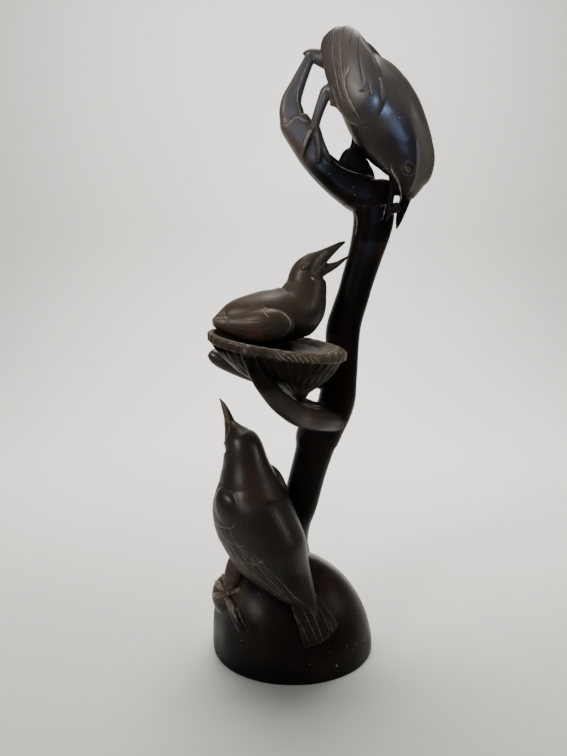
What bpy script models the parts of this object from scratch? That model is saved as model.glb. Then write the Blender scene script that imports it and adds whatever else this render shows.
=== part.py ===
"""Bird tree carving: three birds in a small knobbed tree on a mound, cut from one block of dark hardwood.

The whole carving is one solid. Each form is lofted from a few stations, a station being a centre, a
radius in the plane of the form and a radius across it. The forms overlap as the wood does, a remesh
melts them into one skin, a decimation brings that down to a light mesh, and a cut at z = 0 makes the
flat underside.
The tables are in millimetres. +X is to the right of the front view, +Y goes away from the viewer and
+Z is up.
"""

import math

import bmesh
import bpy
import numpy as np

MM = 0.001

# Mound
BASE_WIDTH = 143.0
BASE_DEPTH = 119.5
MOUND_HEIGHT_LEFT = 78.0
MOUND_HEIGHT_RIGHT = 84.0
MOUND_SQUARE_LEFT = 3.4
MOUND_SQUARE_RIGHT = 1.88
MOUND_FRONT_SLOPE = 0.6
MOUND_FOOT_TUCK = 0.013
# Swells of the mound: angle in degrees and its spread, share of the height and its spread, rise
MOUND_SWELLS = (
    (249, 15, 0.5, 0.3, 2.4),
    (270, 8, 0.5, 0.35, -2.0),
    (203, 13, 0.35, 0.3, -1.6),
)

# Nest
NEST_CENTRE = (-13.0, -22.0, 274.2)
NEST_HALF_WIDTH = 56.0
NEST_HALF_DEPTH = 35.0
NEST_TILT_RIGHT = -0.145
NEST_TILT_BACK = 0.14
STRAW_COUNT = 34
STRAW_DEPTH = 1.1

# Skin
VOXEL = 1.3
SMOOTH_ROUNDS = 2
TRIANGLES = 9500
SIDES = 20
SPANS = 5
THINNEST = 0.35

WOOD_COLOUR = (0.022, 0.016, 0.013, 1.0)
WOOD_ROUGHNESS = 0.38


def unit(vector):
    vector = np.array(vector, float)
    return vector / np.linalg.norm(vector)


class Frame:
    """A bird's own axes: forward along its body, to its left, and out of its back."""

    def __init__(self, origin, forward, left, roll=0.0):
        self.origin = np.array(origin, float)
        self.forward = unit(forward)
        left = np.array(left, float)
        left = unit(left - self.forward * left.dot(self.forward))
        back = np.cross(self.forward, left)
        turn = math.radians(roll)
        self.left = left * math.cos(turn) + back * math.sin(turn)
        self.back = np.cross(self.forward, self.left)

    def at(self, forward, left, back):
        return self.origin + forward * self.forward + left * self.left + back * self.back

    def stations(self, rows):
        """Rows that start with forward, left and back, with that place turned into world axes."""
        return [(*self.at(*row[:3]), *row[3:]) for row in rows]


def smooth_rows(rows, spans=SPANS):
    """A Catmull-Rom curve through the rows, all their columns alike."""
    rows = np.array(rows, float)
    padded = np.vstack([2 * rows[0] - rows[1], rows, 2 * rows[-1] - rows[-2]])
    out = []
    for i in range(len(rows) - 1):
        before, start, end, after = padded[i : i + 4]
        for t in np.arange(spans) / spans:
            curve = 2 * start + (end - before) * t
            curve += (2 * before - 5 * start + 4 * end - after) * t**2
            curve += (3 * start - before - 3 * end + after) * t**3
            out.append(curve / 2)
    return np.array([*out, rows[-1]])


def add_rings(mesh, rings):
    """Closed skin through rings of equal count, with a point in the middle of each end."""
    rows = [[mesh.verts.new(point * MM) for point in ring] for ring in rings]
    count = len(rows[0])
    for lower, upper in zip(rows, rows[1:]):
        for i in range(count):
            j = (i + 1) % count
            mesh.faces.new((lower[i], lower[j], upper[j], upper[i]))
    for row, ring, step in ((rows[0], rings[0], -1), (rows[-1], rings[-1], 1)):
        pole = mesh.verts.new(np.mean(ring, axis=0) * MM)
        for i in range(count):
            ends = (row[i], row[(i + 1) % count])
            mesh.faces.new((*ends[::step], pole))


def loft(mesh, stations, across=(0.0, 1.0, 0.0), square=2.0):
    """Tube through stations of x, y, z, radius in its plane and radius across it.

    A sixth number cuts the section flat below the centre, at that share of the radius in the plane.
    """
    rows = smooth_rows([(*row, 1.0) if len(row) == 5 else row for row in stations])
    centres = rows[:, :3]
    radii = np.maximum(rows[:, 3:5], THINNEST)
    along = np.gradient(centres, axis=0)
    angles = 2 * math.pi * np.arange(SIDES) / SIDES
    power = 2.0 / square
    cosines = np.sign(np.cos(angles)) * np.abs(np.cos(angles)) ** power
    sines = np.sign(np.sin(angles)) * np.abs(np.sin(angles)) ** power
    rings = []
    for centre, (tall, wide), heading, flat in zip(centres, radii, along, rows[:, 5]):
        heading = unit(heading)
        side = unit(np.array(across) - heading * heading.dot(across))
        up = np.cross(heading, side)
        heights = tall * np.maximum(cosines, -flat)
        rings.append(centre + np.outer(heights, up) + wide * np.outer(sines, side))
    add_rings(mesh, rings)


def ball(mesh, centre, radii, across=(0.0, 1.0, 0.0), along=(0.0, 0.0, 1.0)):
    """Ellipsoid with radii along, in its plane and across."""
    stations = []
    for angle in np.linspace(-math.pi / 2, math.pi / 2, 7):
        place = np.array(centre) + unit(along) * radii[0] * math.sin(angle)
        share = max(math.cos(angle), 0.05)
        stations.append((*place, radii[1] * share, radii[2] * share))
    loft(mesh, stations, across)


def mirrored(rows):
    return [(forward, -left, *rest) for forward, left, *rest in rows]


def mound(mesh):
    """Rounded rock, squarer on the left, where the lower bird grips a hump at its edge."""
    angles = 2 * math.pi * np.arange(96) / 96
    left_share = ((1 - np.cos(angles)) / 2) ** 1.5
    front_share = np.clip(-np.sin(angles), 0, 1) ** 2
    square = MOUND_SQUARE_RIGHT + (MOUND_SQUARE_LEFT - MOUND_SQUARE_RIGHT) * left_share
    square = square - MOUND_FRONT_SLOPE * front_share
    tall = MOUND_HEIGHT_RIGHT + (MOUND_HEIGHT_LEFT - MOUND_HEIGHT_RIGHT) * left_share
    rings = []
    for level in (-0.05, *np.sin(np.radians(np.linspace(0, 84, 29)))):
        share = (1 - max(level, 0) ** square) ** (1 / square)
        share = share - MOUND_FOOT_TUCK * max(1 - level / 0.14, 0) ** 2
        swell = sum(
            rise
            * np.exp(-((((np.degrees(angles) - turn + 180) % 360 - 180) / spread) ** 2))
            * math.exp(-(((level - height) / band) ** 2))
            for turn, spread, height, band, rise in MOUND_SWELLS
        )
        x = (BASE_WIDTH / 2 * share + swell) * np.cos(angles)
        y = (BASE_DEPTH / 2 * share + swell) * np.sin(angles)
        rings.append(np.column_stack([x, y, level * tall]))
    add_rings(mesh, rings)
    ball(mesh, (-54, -11, 52), (19, 16.5, 17))
    ridge = [
        (-56, -27, 58, 2, 2),
        (-51, -34, 53, 3.4, 3.6),
        (-46.5, -38.6, 45.5, 3.8, 3.8),
        (-41.5, -42, 38, 3.4, 3.4),
        (-36, -45, 30.5, 1.5, 1.5),
    ]
    loft(mesh, ridge)


def trunk(mesh):
    loft(
        mesh,
        [
            (-2, 20, 66, 21, 21),
            (-1, 21, 80, 17, 17),
            (-0.5, 21, 90, 15.2, 15.5),
            (2, 21, 107, 15, 15),
            (7.5, 21, 126, 16, 15.5),
            (13.8, 21, 151, 16, 15.5),
            (19.5, 21, 173, 17, 16),
            (22, 21, 184, 19.4, 16.5),
            (27.3, 21, 196, 19.5, 17),
            (36.3, 21.5, 209, 16.6, 17),
            (40, 22, 222, 16.2, 16),
            (42, 22, 240, 15.2, 15),
            (43.5, 22, 262, 14.6, 14.5),
            (44.2, 22, 281, 15, 14.5),
            (48.1, 21, 297, 14.2, 14),
            (53.2, 20, 314, 13.9, 14),
            (58.2, 18, 333, 14.2, 14),
            (64, 15, 354, 15.2, 15),
            (67.5, 12.5, 374, 16.8, 16),
            (66, 12, 388, 16.5, 16),
            (62, 12, 398, 11, 12),
        ],
        square=2.4,
    )


def top_loop(mesh):
    """The trunk's end bends left and up, and narrows past a knot to a twig that meets the bird's tail."""
    loft(
        mesh,
        [
            (82, 12, 391.8, 5, 6),
            (76.5, 12, 396.2, 9.8, 10.5),
            (62, 12, 392.5, 15, 15),
            (43, 12, 401.5, 13.2, 13.5),
            (25.4, 11, 414.9, 11.3, 12.5),
            (13.5, 9, 427.4, 10.8, 12),
            (5.8, 7, 441.5, 12.4, 11),
            (0, 6, 450.4, 11.8, 10),
            (-1.5, 5.5, 455.5, 8, 7.5),
        ],
        square=3.2,
    )
    loft(
        mesh,
        [
            (2, 6, 445, 9, 8),
            (-1.4, 5, 455, 10.2, 8.5),
            (-1.6, 4, 465, 8.2, 7.5),
            (2.8, 3, 476, 6.2, 6),
            (9.5, 2, 490, 4.7, 4.7),
            (13, 2, 497, 4.2, 4.2),
            (15, 2, 501, 2, 2),
        ],
        square=3.2,
    )


def arms(mesh):
    """The two side arms that carry the nest: one in front of it and one behind."""
    loft(
        mesh,
        [
            (38, 13, 201, 8.5, 9),
            (25, -2, 206, 10, 10),
            (10, -16, 211, 9.6, 9.5),
            (-0.6, -28, 218, 9.2, 9),
            (-11.2, -38, 228, 8.4, 8.5),
            (-20.3, -45, 239.4, 7.4, 7.5),
            (-27.4, -50, 250, 6.2, 6.5),
            (-31.8, -51.5, 260, 5.7, 6),
            (-35, -51.5, 268, 5.6, 5.5),
            (-36.5, -50, 273, 3.4, 3.5),
        ],
        square=2.4,
    )
    loft(mesh, [(4, -12, 222, 6, 7), (11, -3, 219.5, 5, 6), (19, 6, 215.5, 4.5, 6), (30, 14, 212, 6, 7)])
    loft(
        mesh,
        [
            (42, 26, 234, 9, 10),
            (10, 28, 239, 9, 9),
            (-20, 25, 239, 8.5, 8.5),
            (-42, 23, 245.5, 8, 8),
            (-60, 23, 253, 7.4, 7),
            (-68, 24, 257.5, 6.8, 6.4),
            (-72.6, 25, 261.5, 4.4, 4.4),
        ],
    )


def nest(mesh):
    """Deep cup of straw with a ragged rim, tilted towards the trunk and the viewer."""
    angles = 2 * math.pi * np.arange(72) / 72
    rows = [
        # shift to the right and back, shares of the half width and half depth, height over the rim, straw
        (19, 8, 0.06, 0.08, -50, 0),
        (13, 7, 0.24, 0.28, -42, 0.3),
        (8, 5, 0.49, 0.51, -33.5, 0.5),
        (3.7, 3, 0.66, 0.69, -27, 0.6),
        (1.3, 1, 0.81, 0.82, -18, 0.8),
        (-0.4, 0, 0.905, 0.9, -10.5, 0.6),
        (-1, 0, 0.945, 0.93, -7.2, 0.4),
        (0, 0, 0.995, 0.99, -5.8, 0.5),
        (0, 0, 1.0, 1.0, -1, 0.5),
        (0, 0, 0.98, 0.97, 0.9, 0.2),
        (0, 0, 0.9, 0.88, 0.9, 0.2),
        (-2, 0, 0.74, 0.72, -2, 0.4),
        (-4, 0, 0.45, 0.45, -6, 0.3),
        (-4, 0, 0.1, 0.1, -8, 0),
    ]
    rings = []
    for step, (dx, dy, wide, deep, drop, straw) in enumerate(rows):
        wave = straw * STRAW_DEPTH * np.sin(STRAW_COUNT * angles + 1.1 * step)
        x = dx + (NEST_HALF_WIDTH * wide + wave * (drop < 0)) * np.cos(angles)
        y = dy + (NEST_HALF_DEPTH * deep + wave * (drop < 0)) * np.sin(angles)
        tilt = min(1.0, wide * 1.2)
        z = drop + tilt * (NEST_TILT_RIGHT * x + NEST_TILT_BACK * y) + wave * (drop >= -0.5)
        rings.append(np.column_stack([x, y, z]) + NEST_CENTRE)
    add_rings(mesh, rings)


def eye(mesh, frame, place, radius):
    """A ring round a low bead, on both sides of the head."""
    forward, left, back = place
    for side in (1, -1):
        centre = frame.at(forward, side * left, back)
        ball(mesh, centre, (radius, radius * 0.8, radius * 0.8), frame.forward, frame.left)


def lower_bird(mesh):
    """Stands at the left of the mound, seen from behind its left wing, and looks up."""
    frame = Frame((-30, -12, 110), (-0.394, 0.273, 0.878), (-0.573, -0.82, 0))
    body = [
        (-66, 0, 20, 4, 7),
        (-52, 0, 14, 13, 13),
        (-29, 0, 9, 22.5, 22),
        (-2, 0, 3.6, 32.4, 27),
        (21, 0, 4.5, 33, 28),
        (43, 0, 11.5, 26.5, 24),
        (58, 0, 17, 20.5, 19),
        (71, 0, 20.8, 17.5, 16),
        (80, 0, 19.6, 13.4, 13),
        (88, 0, 18.4, 8.5, 8.2),
        (94, 0, 17.8, 5.3, 5),
    ]
    loft(mesh, frame.stations(body), frame.left)
    beak = [
        (84, 0, 18, 8, 7.5),
        (93, 0, 17.6, 6, 5),
        (99, 0, 18.4, 4.4, 3.8),
        (105.4, 0, 18.8, 3.6, 2.8),
        (112, 0, 18.6, 2.4, 1.8),
        (118.5, 0, 17.4, 0.6, 0.6),
    ]
    loft(mesh, frame.stations(beak), frame.left)
    cloak = [
        (-79, 0, 24.5, 1.5, 2.5, 0.3),
        (-70, 0, 22, 6, 7.5, 0.3),
        (-58, 0, 17, 12.5, 16, 0.4),
        (-42, 0, 10.5, 23.5, 21.5, 0.45),
        (-24, 0, 6, 32.5, 26.4, 0.6),
        (2, 0, 2.2, 35.8, 29.8, 0.72),
        (22, 0, 3.4, 34.1, 30.2, 0.8),
        (37, 0, 7.6, 28.2, 26.4, 0.8),
        (50, 0, 12.4, 20.8, 19.6, 0.8),
        (61, 0, 16.5, 14, 13, 0.8),
    ]
    loft(mesh, frame.stations(cloak), frame.left, square=2.3)
    far_shoulder = [
        (51.5, -16.5, 11.5, 4, 5),
        (46, -20.5, 13, 11, 7.5),
        (38, -23, 13, 15.8, 8.5),
        (26, -24, 10.6, 17.6, 9),
        (10, -23, 7.6, 16, 8.5),
        (-8, -21.5, 5, 11, 6),
        (-22, -19, 4, 6, 4),
    ]
    loft(mesh, frame.stations(far_shoulder), frame.left)
    near_shoulder = [
        (45, 16, 4, 4, 5),
        (38.5, 20.6, 2.5, 11.4, 8.4),
        (28, 22.6, 2, 14.8, 9.2),
        (14, 22, 2, 14, 8),
        (-4, 22, 0, 8, 5),
    ]
    loft(mesh, frame.stations(near_shoulder), frame.left)
    eye(mesh, frame, (80, 7.2, 10.4), 2.0)
    for share in np.linspace(-1, 1, 6):
        start = np.array((8, -39.6, 63)) + share * np.array((7, 4, 1.6))
        end = np.array((25, -51, 33)) + share * np.array((12, 6.5, 5)) - abs(share) * np.array((2, -2, -3))
        middle = (start + end) / 2 + np.array((0.5, -1.5, 1.5))
        rows = [(*start, 3, 4), (*middle, 2.6, 3.4), (*end, 2, 2.6)]
        loft(mesh, rows, (0.84, 0.47, 0.27))
    near_leg = [
        (-36, -12, 98, 12, 12),
        (-45.5, -15, 86, 9.4, 9.4),
        (-50.4, -17, 77, 8, 8.2),
        (-52.4, -20, 70, 6.6, 6.8),
        (-53.5, -24, 64, 3.6, 3.6),
    ]
    loft(mesh, near_leg)
    far_leg = [(-26, 12, 92, 10, 10), (-36, 14, 76, 7, 7), (-42, 15, 66, 5, 5), (-44, 14, 58, 4, 4)]
    loft(mesh, far_leg)
    near_toes = [
        [(-57.2, -20.6, 69.6), (-61, -12, 71.4)],
        [(-63.2, -20.2, 65.2), (-67, -12.5, 64.8)],
        [(-64.6, -23.6, 57.8), (-69, -17, 57.2)],
        [(-47, -26, 63.6), (-41, -24, 65.5)],
    ]
    claws(mesh, (-54.5, -26.4, 61.5), near_toes, 2.3)
    far_toes = [
        [(-52, 13, 65.5), (-60, 12, 62)],
        [(-51, 17, 64.5), (-58, 20, 60)],
        [(-47.5, 20.5, 65.5), (-51, 27, 62)],
    ]
    claws(mesh, (-44, 14, 66), far_toes, 2.6)


def claws(mesh, ankle, toes, radius):
    """Toes that spread from the ankle, each bent at a joint on its way to the tip."""
    for joint, tip in toes:
        rows = [(*ankle, radius, radius), (*joint, radius, radius), (*tip, 0.5 * radius, 0.5 * radius)]
        loft(mesh, rows, (0.3, 0.2, 1.0))


def middle_bird(mesh):
    """Sits in the nest with its head up and its beak open, its right side to the viewer."""
    frame = Frame((-8, -8, 0), (0.978, 0.208, 0), (-0.208, 0.978, 0))
    body = [
        (-58, 0, 288.5, 3.4, 5),
        (-48, 0, 291, 9.8, 10),
        (-36, 0, 294.3, 14.7, 17),
        (-20, 0, 294.3, 20.1, 23.5),
        (-2, 0, 295, 22.2, 25.5),
        (12, 0, 301, 23, 24),
        (18.5, 0, 316, 18, 17.5),
        (20.2, 0, 327.5, 14.8, 13.5),
        (24.5, 0, 335, 11.3, 10.5),
        (30.5, 0, 340.3, 6.4, 6.5),
    ]
    loft(mesh, frame.stations(body), frame.left)
    ball(mesh, frame.at(14.2, 0, 292.6), (16.3, 16, 19), frame.left)
    upper = [
        (24, 0, 337, 9, 8),
        (32, 0, 342, 6.4, 5.6),
        (38.5, 0, 346.5, 4.4, 4),
        (44, 0, 350.2, 2.9, 2.6),
        (49, 0, 353.4, 1.8, 1.6),
        (52.4, 0, 354.8, 0.8, 0.8),
    ]
    loft(mesh, frame.stations(upper), frame.left)
    lower = [
        (25, 0, 328, 7, 7),
        (34, 0, 332, 4.8, 5),
        (39, 0, 333.8, 3.8, 4),
        (45.3, 0, 336.6, 2.4, 2.6),
        (50.5, 0, 340, 1.6, 1.6),
        (55.6, 0, 343.4, 0.8, 0.8),
    ]
    loft(mesh, frame.stations(lower), frame.left)
    wing = [
        (1, 21, 288.3, 3.5, 4),
        (-1.5, 22.6, 288.2, 8.6, 7),
        (-8, 23.2, 287.8, 12, 8),
        (-18, 22.4, 287, 13.2, 8),
        (-31, 17.5, 286.6, 11.6, 7),
        (-45, 10.5, 288, 7.6, 5.2),
        (-57, 5.5, 289.2, 3.4, 3),
    ]
    loft(mesh, frame.stations(wing), frame.left)
    loft(mesh, frame.stations(mirrored(wing)), frame.left)
    eye(mesh, frame, (17.4, 12.6, 334.5), 2.8)


def top_bird(mesh):
    """Hangs head down inside the loop, its right side and back to the viewer, a grub in its beak."""
    frame = Frame((70, -14, 452), (0.588, -0.175, -0.789), (0.269, 0.963, -0.013), roll=15)
    body = [
        (-64, 0, 0, 5, 6),
        (-43.5, 0, 1, 15, 14),
        (-24, 0, 0.5, 24.5, 24),
        (-3, 0, -1.8, 28.2, 27),
        (17, 0, -4.6, 27.2, 26),
        (34, 0, -6.8, 23, 22),
        (46, 0, -10.8, 18.3, 18),
        (53.5, 0, -16, 13.3, 13.6),
        (59, 0, -21.5, 8.8, 9),
        (63, 0, -26, 5, 5),
    ]
    loft(mesh, frame.stations(body), frame.left)
    crown = [
        (22, 0, -4.5, 19.5, 19),
        (33, 0, -6.2, 22.2, 19),
        (43, 0, -8, 20, 16.8),
        (51, 0, -12.2, 16.2, 13.4),
        (56.5, 0, -17.8, 10.8, 9.8),
        (60.4, 0, -21.8, 5, 5),
    ]
    loft(mesh, frame.stations(crown), frame.left)
    upper = [
        (57, 0, -19.5, 7.4, 7.2),
        (62, 0, -26.8, 5, 4.8),
        (66, 0, -32.4, 4, 3.8),
        (69, 0, -37.3, 3.4, 3.1),
        (72.3, 0, -41.8, 2.5, 2.3),
        (76.2, 0, -47, 0.6, 0.6),
    ]
    loft(mesh, frame.stations(upper), frame.left)
    lower = [
        (39, 0, -19, 5, 6),
        (43, 0, -25, 3, 4.6),
        (49, 0, -30, 2.2, 3.4),
        (56.1, 0, -36.9, 2.0, 2.5),
        (63.1, 0, -45.2, 1.4, 1.7),
        (66.1, 0, -49.6, 0.6, 0.6),
    ]
    loft(mesh, frame.stations(lower), frame.left)
    mouth = [(44, 0, -20, 7, 6), (51, 0, -26, 5, 4), (56, 0, -31, 2.5, 2)]
    loft(mesh, frame.stations(mouth), frame.left)
    wing = [
        (8.5, 21, -6, 3, 4),
        (5.5, 22.5, -5.4, 10.5, 6.5),
        (-1, 23.6, -4.2, 15.4, 8.2),
        (-8, 23.9, -3.6, 18, 8.7),
        (-17, 23, -2.2, 19.2, 8.6),
        (-30, 20.5, 1, 20, 8),
        (-45, 16, 3.4, 19, 6.8),
        (-57, 11.5, 4, 16.6, 5.4),
        (-66, 8, 4, 12.8, 4.4),
        (-71.8, 6, 5, 7.8, 3),
    ]
    loft(mesh, frame.stations(mirrored(wing)), frame.left)
    far_wing = [(0.95 * row[0], row[1], row[2] - 0.6, 0.95 * row[3], row[4]) for row in wing]
    loft(mesh, frame.stations(far_wing), frame.left)
    mantle = [
        (-46, 0, 2, 11, 10, 0.4),
        (-38, 0, 2.5, 17, 17.5, 0.4),
        (-28, 0, 1.6, 22.6, 24.5, 0.4),
        (-15, 0, -0.2, 26.6, 28.6, 0.4),
        (-3, 0, -1.8, 28.2, 29, 0.4),
        (8, 0, -3.6, 27.2, 27.6, 0.4),
        (18, 0, -5.8, 24.4, 24.5, 0.4),
    ]
    loft(mesh, frame.stations(mantle), frame.left)
    eye(mesh, frame, (47, 17.4, -10), 3.6)
    grub(mesh, (78.5, -17.5, 378.5))
    tail = [
        (48, -5, 487, 9, 6),
        (34, -2, 492.5, 8.6, 5),
        (22, 0, 496.5, 7, 4),
        (13, 2, 500, 4.4, 3),
        (7, 3.5, 501, 0.8, 0.8),
    ]
    loft(mesh, tail)
    thigh = [
        (60, -5, 445, 7, 7),
        (47, -13, 453, 8.6, 8.6),
        (36.5, -16, 459.6, 7.2, 6.2),
        (28, -15, 460.5, 4.6, 4),
    ]
    loft(mesh, thigh)
    near_leg = [
        (44, -18, 461, 7, 7),
        (34, -17, 463.5, 6.4, 6),
        (26, -15, 466.5, 5, 4.6),
        (22.4, -13, 460, 4.4, 4),
        (18.4, -10, 449.5, 4, 3.8),
        (16, -7, 441, 4.2, 3.8),
    ]
    loft(mesh, near_leg, (0.2, -1.0, 0.2))
    near_toes = [
        [(16, -6, 443), (11.4, -5, 434.6), (8.4, -4, 427.3), (6.5, -2.4, 420)],
        [(17, -6, 442), (19.5, -4.6, 432.9), (20.6, -3.6, 424.5), (19.5, -2.2, 416.5)],
        [(18, -5, 442), (22.2, -3.4, 431), (26.4, -2.4, 423), (30, -1, 417)],
    ]
    for toe in near_toes:
        rows = [(*place, radius, radius) for place, radius in zip(toe, (3.4, 3, 2.7, 1.4))]
        loft(mesh, rows, (0.2, -1.0, 0.2))
    far_leg = [
        (53, 12, 446, 5, 5),
        (53, 13, 437, 5, 4.5),
        (53, 14, 430.5, 7.6, 5),
        (51, 14, 424, 11.6, 6),
        (50.4, 14, 417, 14.4, 6.5),
        (51, 14, 410, 16.6, 7),
        (52, 14, 403, 17, 7),
    ]
    loft(mesh, far_leg)


def grub(mesh, centre):
    """Short ringed body held between the two halves of the beak."""
    rows = []
    for step in range(9):
        along = -5 + 10 * step / 8
        radius = 4.3 if step % 2 else 3.7
        radius *= 0.7 if step in (0, 8) else 1.0
        place = np.array(centre) + along * unit((1, 0.05, 0.3))
        rows.append((*place, radius, radius))
    loft(mesh, rows)


def wood():
    material = bpy.data.materials.new("dark_hardwood")
    material.use_nodes = True
    shader = material.node_tree.nodes["Principled BSDF"]
    shader.inputs["Base Color"].default_value = WOOD_COLOUR
    shader.inputs["Roughness"].default_value = WOOD_ROUGHNESS
    shader.inputs["Metallic"].default_value = 0.0
    return material


def floor_cutter():
    """Block below z = 0 that takes the underside off flat."""
    mesh = bmesh.new()
    bmesh.ops.create_cube(mesh, size=1.0)
    bmesh.ops.scale(mesh, vec=(0.4, 0.4, 0.05), verts=mesh.verts)
    bmesh.ops.translate(mesh, vec=(0, 0, -0.025), verts=mesh.verts)
    data = bpy.data.meshes.new("floor_cutter")
    mesh.to_mesh(data)
    mesh.free()
    cutter = bpy.data.objects.new("floor_cutter", data)
    cutter.hide_render = True
    cutter.display_type = "WIRE"
    bpy.context.scene.collection.objects.link(cutter)
    return cutter


def faces_now(carving):
    """Count of the faces that the modifiers give so far."""
    bpy.context.view_layer.update()
    return len(carving.evaluated_get(bpy.context.evaluated_depsgraph_get()).data.polygons)


def main():
    for obj in list(bpy.data.objects):
        bpy.data.objects.remove(obj)
    forms = bmesh.new()
    for form in (mound, trunk, top_loop, arms, nest, lower_bird, middle_bird, top_bird):
        form(forms)
    bmesh.ops.recalc_face_normals(forms, faces=forms.faces)
    data = bpy.data.meshes.new("bird_tree_carving")
    forms.to_mesh(data)
    forms.free()
    data.materials.append(wood())
    carving = bpy.data.objects.new("bird_tree_carving", data)
    bpy.context.scene.collection.objects.link(carving)

    skin = carving.modifiers.new("One skin", "REMESH")
    skin.mode = "VOXEL"
    skin.voxel_size = VOXEL * MM
    skin.use_smooth_shade = True
    soften = carving.modifiers.new("Soften", "SMOOTH")
    soften.factor = 0.5
    soften.iterations = SMOOTH_ROUNDS
    lighten = carving.modifiers.new("Lighten", "DECIMATE")
    lighten.ratio = TRIANGLES / (2 * faces_now(carving))
    lighten.use_collapse_triangulate = True
    cut = carving.modifiers.new("Flat underside", "BOOLEAN")
    cut.operation = "DIFFERENCE"
    cut.solver = "EXACT"
    cut.object = floor_cutter()


main()
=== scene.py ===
"""Looks of the bird tree carving: the same forms as the solid, at a finer grain, with the knife's lines.

One skin is remeshed from the lofted forms, cut along the feather lines and nest straw, thinned to a
light mesh and given polished, nearly black wood. Tables are in millimetres, in the frame of the part:
+X is to the right of the front view, +Y goes away from the viewer and +Z is up.
"""

import math

import bmesh
import bpy
import numpy as np
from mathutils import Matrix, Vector


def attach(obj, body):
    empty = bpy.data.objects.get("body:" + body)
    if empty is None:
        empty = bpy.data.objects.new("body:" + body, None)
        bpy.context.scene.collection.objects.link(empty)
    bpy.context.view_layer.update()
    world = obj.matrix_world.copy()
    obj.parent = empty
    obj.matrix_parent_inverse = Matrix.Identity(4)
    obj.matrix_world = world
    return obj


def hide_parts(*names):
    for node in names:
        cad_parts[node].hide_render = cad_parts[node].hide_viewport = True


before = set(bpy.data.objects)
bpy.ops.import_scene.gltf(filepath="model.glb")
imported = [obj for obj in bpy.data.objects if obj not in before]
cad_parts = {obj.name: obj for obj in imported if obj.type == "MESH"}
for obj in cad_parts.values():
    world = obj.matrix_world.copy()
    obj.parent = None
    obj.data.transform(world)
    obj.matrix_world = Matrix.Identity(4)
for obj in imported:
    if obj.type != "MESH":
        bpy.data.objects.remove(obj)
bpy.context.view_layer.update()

MM = 0.001

# Mound
BASE_WIDTH = 143.0
BASE_DEPTH = 119.5
MOUND_HEIGHT_LEFT = 78.0
MOUND_HEIGHT_RIGHT = 84.0
MOUND_SQUARE_LEFT = 3.4
MOUND_SQUARE_RIGHT = 1.88
MOUND_FRONT_SLOPE = 0.6
MOUND_FOOT_TUCK = 0.013
# Swells of the mound: angle in degrees and its spread, share of the height and its spread, rise
MOUND_SWELLS = (
    (249, 15, 0.5, 0.3, 2.4),
    (270, 8, 0.5, 0.35, -2.0),
    (203, 13, 0.35, 0.3, -1.6),
)

# Nest
NEST_CENTRE = (-13.0, -22.0, 274.2)
NEST_HALF_WIDTH = 56.0
NEST_HALF_DEPTH = 35.0
NEST_TILT_RIGHT = -0.145
NEST_TILT_BACK = 0.14
STRAW_COUNT = 34
STRAW_DEPTH = 1.1

# Skin
VOXEL = 0.55
SMOOTH_ROUNDS = 6
TRIANGLES = 190000
SIDES = 40
SPANS = 8
PATH_SPANS = 6
THINNEST = 0.35

# Handwork: height of the slow swell and the distance between its hills
SWELL = 0.16
SWELL_LENGTH = 26

# Cuts: how far round its path a cut is looked for, and the distance that stands for no cut near
CUT_MARGIN = 3
FAR = 9.0

# How far a bird's body and its head reach to a side, at the most
BODY_REACH = 40
HEAD_REACH = 30

# Eyes: height, middle and width of the ring and of the valley inside it, height and reach of the bead,
# all as shares of the ring's radius
EYE_RING = (0.14, 1.15, 0.2)
EYE_VALLEY = (0.2, 0.84, 0.13)
EYE_BEAD = (0.5, 0.74)

# Colours of the wood, each laid over the one before it
DARK_WOOD = (0.0034, 0.0026, 0.0024, 1)
BROWN_WOOD = (0.0105, 0.0062, 0.0046, 1)
STREAK = (0.036, 0.0135, 0.0078, 1)
# Stains, and one painted highlight
STAIN_AND_PAINTED_HIGHLIGHT = (0.04, 0.021, 0.0125, 1)
GRAIN = (0.017, 0.0115, 0.0085, 1)
# Dust, which on the top bird's wing is also painted sheen
DRY_WOOD_AND_PAINTED_SHEEN = (0.135, 0.1, 0.066, 1)
WORN_WOOD = (0.3, 0.25, 0.19, 1)
# Painted shade: in dark cuts and cracks, in the nest's cup and on dull wood
PAINTED_SHADE = (0.0015, 0.0012, 0.001, 1)
CUT_WOOD = (0.34, 0.3, 0.24, 1)
CHIP = (0.36, 0.32, 0.26, 1)

FLOOR_COLOUR = (0.82, 0.8, 0.765, 1)

# Lamps: place, target, size, power, colour and the angle they shine over, in degrees
LAMPS = {
    "key": ((-0.95, -0.85, 0.95), (0, 0, 0.34), (0.3, 0.3), 0.42, (1.0, 0.95, 0.88), 22),
    "window": ((0.1, -1.35, 0.42), (0.08, 0, 0.52), (0.3, 0.24), 0.24, (0.4, 0.6, 1.0), 14),
    "side": ((0.9, -0.3, 0.8), (0.11, -0.02, 0.46), (0.6, 0.6), 0.27, (1.0, 0.93, 0.84), 20),
    "ceiling": ((0.02, 0.45, 1.9), (0.02, 0.45, 0), (0.8, 0.8), 9, (1.0, 0.97, 0.92), 76),
    "wall_wash": ((0, 0.35, 1.7), (0, 1.15, 0.5), (1.6, 0.3), 16, (1.0, 0.98, 0.94), 100),
}
WORLD_COLOUR = (0.95, 0.97, 1.0, 1)
WORLD_STRENGTH = 0.18

# Camera: focal length and height of the picture in pixels, angle down in degrees, place in metres
FOCAL_PIXELS = 568
PICTURE_PIXELS = 756
CAMERA_TIP = 7.8
CAMERA_PLACE = (-0.008, -0.478, 0.307)
SENSOR = 36.0


def unit(vector):
    vector = np.array(vector, float)
    return vector / np.linalg.norm(vector)


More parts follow.
